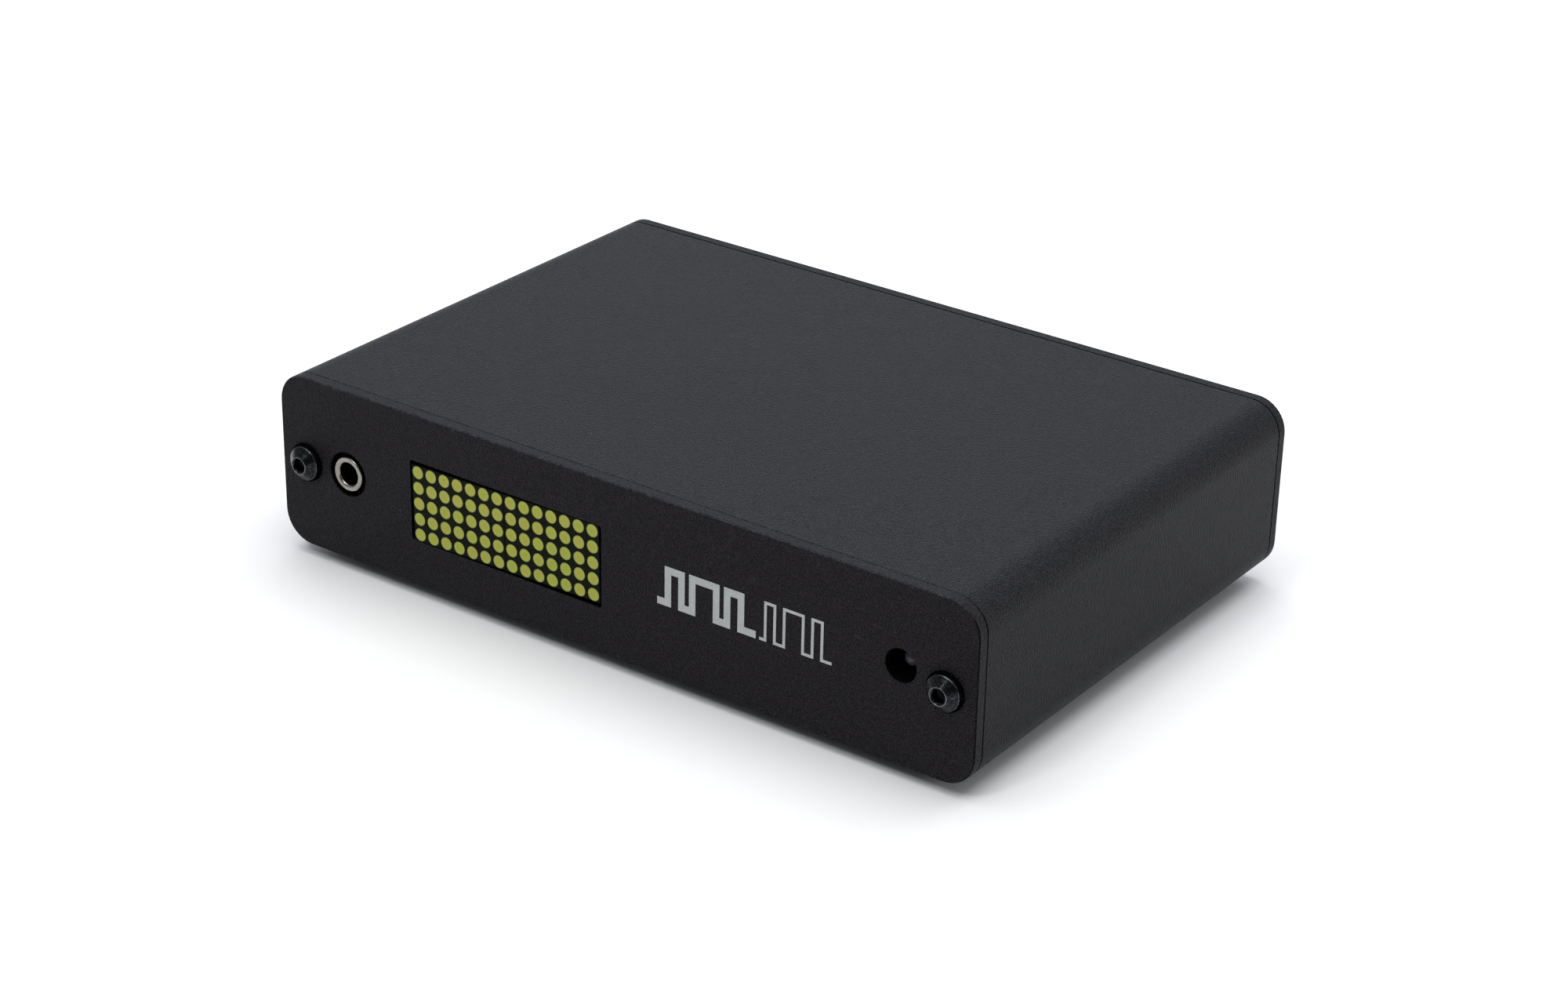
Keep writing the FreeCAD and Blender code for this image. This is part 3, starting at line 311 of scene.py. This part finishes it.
def screw_material():
    """Black oxide over turned steel, worn to bare metal on the head's rim and round the socket's mouth, where the
    lighter rings also act as painted highlights along those edges.
    """
    n = Net("screw_black")
    dx, dz, r, rings = turned(n, (SCREW_X,), SCREW_Z, 0.3, 0.00006)
    base = n.mix(n.remap(rings, 0.3, 0.7, 0.0, 1.0), (0.011, 0.0125, 0.014), (0.020, 0.0225, 0.025))
    blotch = n.noise(900.0, 4.0)
    base = n.mix(n.remap(blotch, 0.5, 0.75, 0.0, 0.6), base, (0.021, 0.029, 0.031))
    pits = n.noise(4700.0, 1.0, 0.6)
    base = n.mix(n.remap(pits, 0.34, 0.5, 0.75, 0.0), base, (0.004, 0.0042, 0.0048))
    base = n.mix(n.remap(pits, 0.56, 0.72, 0.0, 0.7), base, (0.075, 0.078, 0.080))
    out = n.math("ABSOLUTE", n.split()[1])
    top = -SCREW_LO.y
    # lighter bands at the socket's mouth and on the head's rim: partly bare metal from wear, partly painted highlight
    # lines on the edges
    mouth = n.math("MULTIPLY", n.remap(out, top - 0.07 * MM, top - 0.02 * MM, 0.0, 1.0),
                   n.remap(r, 1.2 * MM, 1.28 * MM, 0.0, 1.0))
    off = n.math("ABSOLUTE", n.math("SUBTRACT", r, HEAD_R - 0.025 * MM))
    rim = n.math("MULTIPLY", n.remap(off, 0.02 * MM, 0.055 * MM, 1.0, 0.0),
                 n.remap(n.noise(1400.0, 3.0), 0.35, 0.6, 0.35, 1.0))
    wear_and_highlight = n.math("MAXIMUM", n.math("MULTIPLY", mouth, 0.33), n.math("MULTIPLY", rim, 0.38))
    base = n.mix(wear_and_highlight, base, (0.26, 0.275, 0.28))
    # painted shade: the inside of the hex socket, below its mouth, goes near black
    painted_socket_shade = n.math("MULTIPLY", n.remap(r, 1.16 * MM, 1.2 * MM, 1.0, 0.0), n.remap(out, top - 0.3 * MM, top - 0.16 * MM, 1.0, 0.0))
    base = n.mix(painted_socket_shade, base, (0.0025, 0.0026, 0.003))
    n.set(Base_Color=base, Metallic=0.9, Roughness=n.remap(blotch, 0.3, 0.7, 0.20, 0.29),
          Normal=n.bump(n.math("ADD", rings, n.math("MULTIPLY", pits, 1.6)), 0.35, 0.000012))
    n.set(Specular_IOR_Level=0.3, Anisotropic=0.5)
    n.put(n.bsdf.inputs["Tangent"], n.join(n.math("MULTIPLY", dx, 200.0), 0.0, n.math("MULTIPLY", dz, 200.0)))
    return n


def ring_material():
    n = Net("nickel_turned")
    dx, dz, r, rings = turned(n, JACK_C.x, JACK_C.z, 0.3, 0.00007)
    stain = n.noise(700.0, 4.0)
    base = n.mix(n.remap(stain, 0.42, 0.7, 0.0, 1.0), (0.265, 0.256, 0.228), (0.195, 0.178, 0.145))
    base = n.mix(n.remap(rings, 0.3, 0.7, 0.0, 0.3), base, (0.35, 0.34, 0.312))
    # painted shade: the bore wall deeper than about 0.5 mm behind the front goes dark brown
    painted_bore_shade = n.math("MULTIPLY", n.remap(r, 1.80 * MM, 1.86 * MM, 1.0, 0.0), n.remap(n.split()[1], FRONT_Y + 0.4 * MM, FRONT_Y + 0.8 * MM, 0.0, 1.0))
    base = n.mix(painted_bore_shade, base, (0.115, 0.105, 0.062))
    n.set(Base_Color=base, Metallic=1.0, Roughness=n.remap(stain, 0.3, 0.7, 0.2, 0.33),
          Normal=n.bump(rings, 0.3, 0.000008))
    n.set(Anisotropic=0.35)
    n.put(n.bsdf.inputs["Tangent"], n.join(n.math("MULTIPLY", dx, 200.0), 0.0, n.math("MULTIPLY", dz, 200.0)))
    return n


def dot_material():
    """Yellow-green resin: greener towards each dot's rim and warmer in the middle, over the lead frame."""
    n = Net("display_dot_resin")
    x, _, z = n.split()
    px, pz = n.math("SUBTRACT", x, DISP.x), n.math("SUBTRACT", z, DISP.z)
    c, s = math.cos(TILT), math.sin(TILT)
    u = n.math("ADD", n.math("MULTIPLY", px, c), n.math("MULTIPLY", pz, s))
    v = n.math("SUBTRACT", n.math("MULTIPLY", pz, c), n.math("MULTIPLY", px, s))
    pitch = 2.54 * MM
    lu = n.math("SUBTRACT", n.math("WRAP", u, pitch, 0.0), pitch / 2)
    lv = n.math("SUBTRACT", n.math("WRAP", n.math("ADD", v, pitch / 2), pitch, 0.0), pitch / 2)
    r = n.math("SQRT", n.math("ADD", n.math("MULTIPLY", lu, lu), n.math("MULTIPLY", lv, lv)))
    cu, cv = n.math("FLOOR", n.math("DIVIDE", u, pitch)), n.math("FLOOR", n.math("ADD", n.math("DIVIDE", v, pitch), 0.5))
    each = n.nt.nodes.new("ShaderNodeTexWhiteNoise")
    each.noise_dimensions = "3D"
    n.nt.links.new(n.join(cu, cv, 0.0), each.inputs["Vector"])
    rim = n.remap(r, 0.0003, 0.00095, 0.0, 1.0, True)
    warm = n.mix(each.outputs["Value"], (0.338, 0.352, 0.024), (0.395, 0.334, 0.040))
    col = n.mix(rim, warm, (0.345, 0.42, 0.042))
    col = n.mix(n.remap(r, 0.82 * MM, 1.04 * MM, 0.0, 0.72, True), col, (0.07, 0.09, 0.022))
    cloud = n.noise(2600.0, 3.0)
    col = n.mix(n.remap(cloud, 0.35, 0.7, 0.0, 0.2), col, (0.48, 0.49, 0.10))
    n.set(Base_Color=col, Roughness=n.remap(cloud, 0.3, 0.7, 0.34, 0.5),
          Normal=n.bump(n.math("ADD", n.math("MULTIPLY", rim, -0.6), cloud), 0.3, 0.00001))
    n.set(Specular_IOR_Level=0.22, Coat_Weight=0.04, Coat_Roughness=0.2)
    return n


def board_material(name, y_plane):
    """Green solder mask with runs of copper track showing through, raised and paler."""
    n = Net(name)
    x, y, z = n.split()
    flat = n.join(x, y if y_plane else z, 0.0)
    net = n.math("PINGPONG", n.cells(85.0, "F1", "CHEBYCHEV", vector=flat), 0.045)
    grid = n.cells(420.0, "F1", "CHEBYCHEV", vector=flat, randomness=0.35)
    track = n.remap(net, 0.008, 0.013, 1.0, 0.0)
    pad = n.remap(grid, 0.1, 0.14, 1.0, 0.0)
    copper = n.math("MAXIMUM", track, n.math("MULTIPLY", pad, 0.8))
    slow = n.noise(90.0, 3.0)
    mask = n.mix(n.remap(slow, 0.3, 0.7, 0.0, 1.0), (0.006, 0.055, 0.022), (0.008, 0.075, 0.03))
    col = n.mix(n.math("MULTIPLY", copper, 0.7), mask, (0.03, 0.16, 0.06))
    n.set(Base_Color=col, Roughness=n.remap(slow, 0.3, 0.7, 0.24, 0.36),
          Normal=n.bump(copper, 0.35, 0.00003))
    n.set(Specular_IOR_Level=0.5, Coat_Weight=0.3, Coat_Roughness=0.15)
    return n


FINISH = {
    "case_anodised": case_mat,
    "panel_anodised": panel_mat,
    "screw_black": screw_material(),
    # washer: black, pushed to near zero so it also stands as painted shadow under the screw heads
    "washer_black": surface("washer_black", (0.0009, 0.0009, 0.0011), 0.75, spec=0.02,
                            patch=(500.0, 0.3), grain=(7000.0, 0.4, 0.00002)),
    "foot_rubber": surface("foot_rubber", (0.02, 0.02, 0.021), 0.72, spec=0.3, patch=(220.0, 0.2),
                           grain=(3600.0, 0.5, 0.00005)),
    "display_face": surface("display_face", (0.0030, 0.0037, 0.0037), 0.55, spec=0.06, patch=(300.0, 0.2),
                            grain=(5200.0, 0.3, 0.00002)),
    "display_dot": dot_material(),
    "nickel": surface("nickel_plated", (0.6, 0.58, 0.54), 0.3, metallic=1.0, patch=(300.0, 0.12),
                      grain=(6000.0, 0.12, 0.00001)),
    "tinned": surface("tinned_leads", (0.62, 0.62, 0.63), 0.34, metallic=1.0, patch=(900.0, 0.15),
                      grain=(9000.0, 0.25, 0.00001)),
    "gold_plated": surface("gold_plated", (0.83, 0.56, 0.2), 0.26, metallic=1.0, patch=(900.0, 0.1),
                           grain=(8000.0, 0.15, 0.00001)),
    "spring_bronze": surface("spring_bronze", (0.66, 0.46, 0.28), 0.32, metallic=1.0, patch=(700.0, 0.15),
                             grain=(7000.0, 0.2, 0.00001)),
    "board_green": board_material("solder_mask", True),
    "connector_black": surface("connector_black", (0.012, 0.012, 0.0125), 0.46, spec=0.35, patch=(200.0, 0.2),
                               grain=(4800.0, 0.35, 0.00002)),
    "connector_white": surface("connector_white", (0.62, 0.62, 0.58), 0.42, spec=0.45, patch=(200.0, 0.05),
                               grain=(4800.0, 0.25, 0.00002)),
    "chip_epoxy": surface("chip_epoxy", (0.02, 0.02, 0.022), 0.56, spec=0.4, patch=(400.0, 0.2),
                          grain=(6500.0, 0.6, 0.00003)),
    "can_aluminium": surface("can_aluminium", (0.72, 0.72, 0.73), 0.27, metallic=1.0, patch=(300.0, 0.08),
                             grain=(6000.0, 0.12, 0.00001), brushed=(1.0, (400.0, 400.0, 9000.0), 0.12, 0.00001)),
    "ceramic_tan": surface("ceramic_tan", (0.44, 0.3, 0.17), 0.5, spec=0.45, patch=(900.0, 0.15),
                           grain=(7000.0, 0.3, 0.00002)),
    "ferrite_grey": surface("ferrite_grey", (0.045, 0.045, 0.048), 0.66, spec=0.35, patch=(500.0, 0.2),
                            grain=(5200.0, 0.6, 0.00004)),
}
SPECIAL = {
    "phone_jack_bushing": ring_material(),
    "display_board": board_material("solder_mask_upright", False),
    "power_jack_pin": surface("power_pin_nickel", (0.060, 0.056, 0.072), 0.06, spec=0.22, patch=(900.0, 0.15), spread=0.02,
                              grain=(7000.0, 0.2, 0.00001)),
    # socket housings: black plastic, darkened further as painted shade inside the holes of the power inlet and the
    # phone jack
    "power_jack_housing": surface("power_socket_black_and_shade", (0.0012, 0.0012, 0.0013), 0.6, spec=0.03,
                                  patch=(300.0, 0.2), grain=(4800.0, 0.35, 0.00002)),
    "phone_jack_housing": surface("phone_socket_black_and_shade", (0.0025, 0.0025, 0.0027), 0.5, spec=0.1,
                                  patch=(300.0, 0.2), grain=(4800.0, 0.35, 0.00002)),
    "rear_screws": None,
}

slot_of = {s["node"]: s["material_slot"] for s in frame["record"]["subparts"]}
for name, obj in NODES.items():
    net = SPECIAL.get(name) or FINISH[slot_of[name]]
    obj.data.materials.clear()
    obj.data.materials.append(net.mat)


# ---------------------------------------------------------------- printed pictogram on the front panel
def ribbon(path, t):
    """Outline of a line of width t with mitred corners."""
    def unit(a, b):
        d = math.hypot(b[0] - a[0], b[1] - a[1])
        return ((b[0] - a[0]) / d, (b[1] - a[1]) / d)

    left, rightside = [], []
    for i, p in enumerate(path):
        dirs = []
        if i > 0:
            dirs.append(unit(path[i - 1], p))
        if i < len(path) - 1:
            dirs.append(unit(p, path[i + 1]))
        nx, ny = sum(-d[1] for d in dirs), sum(d[0] for d in dirs)
        m = math.hypot(nx, ny)
        nx, ny = nx / m, ny / m
        k = t / 2 / (nx * -dirs[0][1] + ny * dirs[0][0])
        left.append((p[0] + nx * k, p[1] + ny * k))
        rightside.append((p[0] - nx * k, p[1] - ny * k))
    return left + rightside[::-1]


def pulse(x0, z0, z1, widths):
    """A square wave from x0: widths are the lengths of the successive low and high levels."""
    path, x, level = [(x0, z0)], x0, 0
    for w in widths:
        x += w
        path.append((x, (z0, z1)[level]))
        level = 1 - level
        path.append((x, (z0, z1)[level]))
    return path[:-1]


def printed(name, outlines, y_face, lift, body, material):
    """Flat printed shapes lying on the panel: each outline is a closed list of (x, z)."""
    bm = bmesh.new()
    for outline in outlines:
        front = [bm.verts.new((x, y_face - lift, z)) for x, z in outline]
        behind = [bm.verts.new((x, y_face - lift * 0.1, z)) for x, z in outline]
        bm.faces.new(front)
        bm.faces.new(behind[::-1])
        for i in range(len(outline)):
            j = (i + 1) % len(outline)
            bm.faces.new((front[i], behind[i], behind[j], front[j]))
    bmesh.ops.recalc_face_normals(bm, faces=bm.faces)
    bmesh.ops.triangulate(bm, faces=bm.faces)
    mesh = bpy.data.meshes.new(name)
    bm.to_mesh(mesh)
    bm.free()
    obj = bpy.data.objects.new(name, mesh)
    scene.collection.objects.link(obj)
    mesh.materials.append(material)
    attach(obj, body)
    return obj


ink = surface("printed_ink", (0.37, 0.39, 0.385), 0.5, spec=0.35, patch=(900.0, 0.06),
              grain=(5200.0, 0.5, 0.00002), spread=0.08)
MARK_X, MARK_Z = 8.6, 2.0
shapes = [
    ribbon([(x * MM, (z + MARK_Z) * MM) for x, z in
            pulse(9.2, 12.15, 17.3, [1.9, 2.4, 1.9, 4.2, 1.9, 2.4, 2.6])], 1.15 * MM),
    ribbon([(x * MM, (z + MARK_Z) * MM) for x, z in
            pulse(27.1, 11.85, 17.65, [1.0, 1.6, 1.6, 3.2, 1.6, 1.6, 1.7])], 0.46 * MM),
]
mark = printed("front_panel_pictogram", shapes, FRONT_Y, 0.000018, "case", ink.mat)

# ---------------------------------------------------------------- floor, light and surroundings
floor_mesh = bpy.data.meshes.new("floor")
bm = bmesh.new()
bmesh.ops.create_grid(bm, x_segments=2, y_segments=2, size=4.0)
bm.to_mesh(floor_mesh)
bm.free()
floor = bpy.data.objects.new("floor", floor_mesh)
floor.location = (0, 0, cad_lo.z - 0.00002)
scene.collection.objects.link(floor)
fm = Net("floor_paper")
soft = fm.noise(6.0, 3.0)
fm.set(Base_Color=fm.mix(fm.remap(soft, 0.3, 0.7, 0.0, 1.0), (0.83, 0.83, 0.835), (0.85, 0.85, 0.853)),
       Roughness=fm.remap(fm.noise(500.0, 2.0), 0.3, 0.7, 0.85, 0.95), Normal=fm.bump(fm.noise(900.0), 0.05, 0.00005))
fm.set(Specular_IOR_Level=0.1)
floor_mesh.materials.append(fm.mat)

world = bpy.data.worlds.new("studio")
scene.world = world
world.use_nodes = True
wn = world.node_tree
wn.nodes.clear()
wout = wn.nodes.new("ShaderNodeOutputWorld")
# a soft room: pale behind and to the left, dim on the camera's side; seen directly it is plain and pale
way = wn.nodes.new("ShaderNodeTexCoord").outputs["Generated"]
dot = wn.nodes.new("ShaderNodeVectorMath")
dot.operation = "DOT_PRODUCT"
dot.inputs[1].default_value = (-0.60, 0.72, 0.35)
wn.links.new(way, dot.inputs[0])
level = wn.nodes.new("ShaderNodeMapRange")
level.interpolation_type = "SMOOTHSTEP"
for key, value in (("From Min", -0.85), ("From Max", 0.35), ("To Min", 0.08), ("To Max", 0.46)):
    level.inputs[key].default_value = value
wn.links.new(dot.outputs["Value"], level.inputs["Value"])
room = wn.nodes.new("ShaderNodeBackground")
room.inputs["Color"].default_value = (0.93, 0.965, 1.0, 1.0)
wn.links.new(level.outputs["Result"], room.inputs["Strength"])
seen = wn.nodes.new("ShaderNodeBackground")
seen.inputs["Color"].default_value = (0.84, 0.85, 0.86, 1.0)
seen.inputs["Strength"].default_value = 0.9
choose = wn.nodes.new("ShaderNodeMixShader")
wn.links.new(wn.nodes.new("ShaderNodeLightPath").outputs["Is Camera Ray"], choose.inputs[0])
wn.links.new(room.outputs[0], choose.inputs[1])
wn.links.new(seen.outputs[0], choose.inputs[2])
wn.links.new(choose.outputs[0], wout.inputs[0])


def softbox(name, pos, aim, size, power, color=(1, 1, 1)):
    data = bpy.data.lights.new(name, "AREA")
    data.shape = "RECTANGLE"
    data.size, data.size_y = size
    data.energy = power
    data.color = color
    obj = bpy.data.objects.new(name, data)
    scene.collection.objects.link(obj)
    obj.location = pos
    obj.rotation_euler = (Vector(aim) - Vector(pos)).to_track_quat("-Z", "Y").to_euler()
    return obj


softbox("overhead", (0.05, 0.0, 1.25), (0.05, 0, 0), (1.3, 1.3), 14.5)
softbox("back_left", (-0.85, 1.0, 0.62), (-0.05, 0.05, 0.02), (1.4, 0.9), 4.4, (0.93, 0.97, 1.1))
softbox("back", (0.30, 1.05, 0.80), (0.03, 0.03, 0.02), (0.8, 0.5), 3.2, (0.95, 0.98, 1.06))
softbox("front_top", (-0.018, -0.566, 0.742), (0.03, -0.04, 0.02), (0.13, 0.2), 1.7)
softbox("right_low", (0.95, 0.06, 0.42), (0.05, 0, 0.02), (0.5, 0.3), 1.4)

scene.view_settings.view_transform = "Standard"
scene.view_settings.look = "None"
